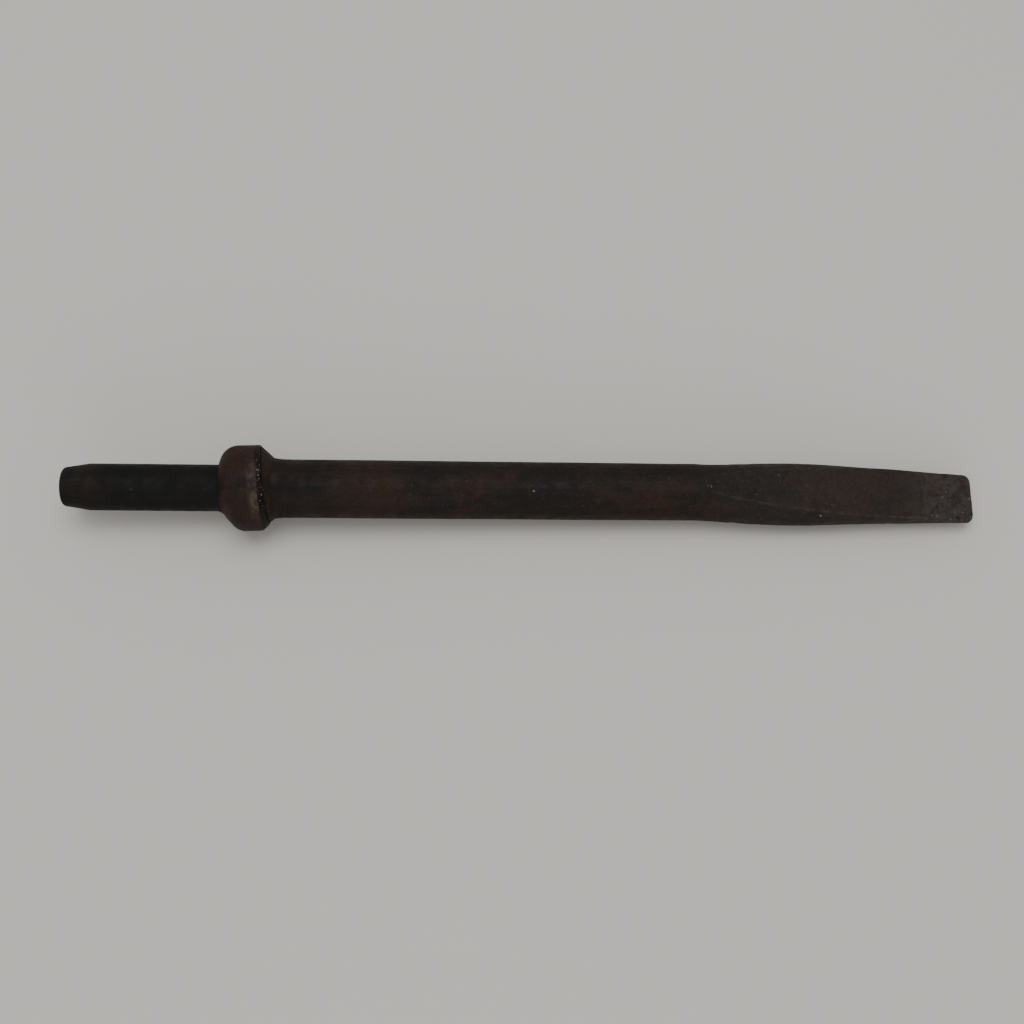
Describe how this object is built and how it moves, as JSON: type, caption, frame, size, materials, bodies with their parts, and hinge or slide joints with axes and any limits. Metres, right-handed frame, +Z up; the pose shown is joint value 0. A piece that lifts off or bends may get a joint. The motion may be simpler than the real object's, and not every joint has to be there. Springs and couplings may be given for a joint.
{
  "type": "chipping hammer chisel",
  "caption": "Flat cold chisel for a pneumatic chipping hammer: plain round shank, welded retaining collar, round body and drawn-out flat blade.",
  "frame": {"origin": "centre of the flat struck face at the end of the shank, on the shank's axis", "axes": "+X along the tool from the struck end to the cutting edge, +Y along the cutting edge, +Z up, square to the blade's flats"},
  "size_m": [0.3371, 0.032, 0.0318],
  "materials": {
    "bar": "dark forge scale with light brown rust, matt, greyer and pitted at the blade's tip",
    "collar": "dark brown rusted scale, rubbed brighter along the front edge",
    "weld": "rusted weld metal with fine ripples and small bright specks"
  },
  "bodies": {
    "root": {"chisel_bar": "bar", "collar_ring": "collar", "collar_weld": "weld"}
  },
  "joints": []
}
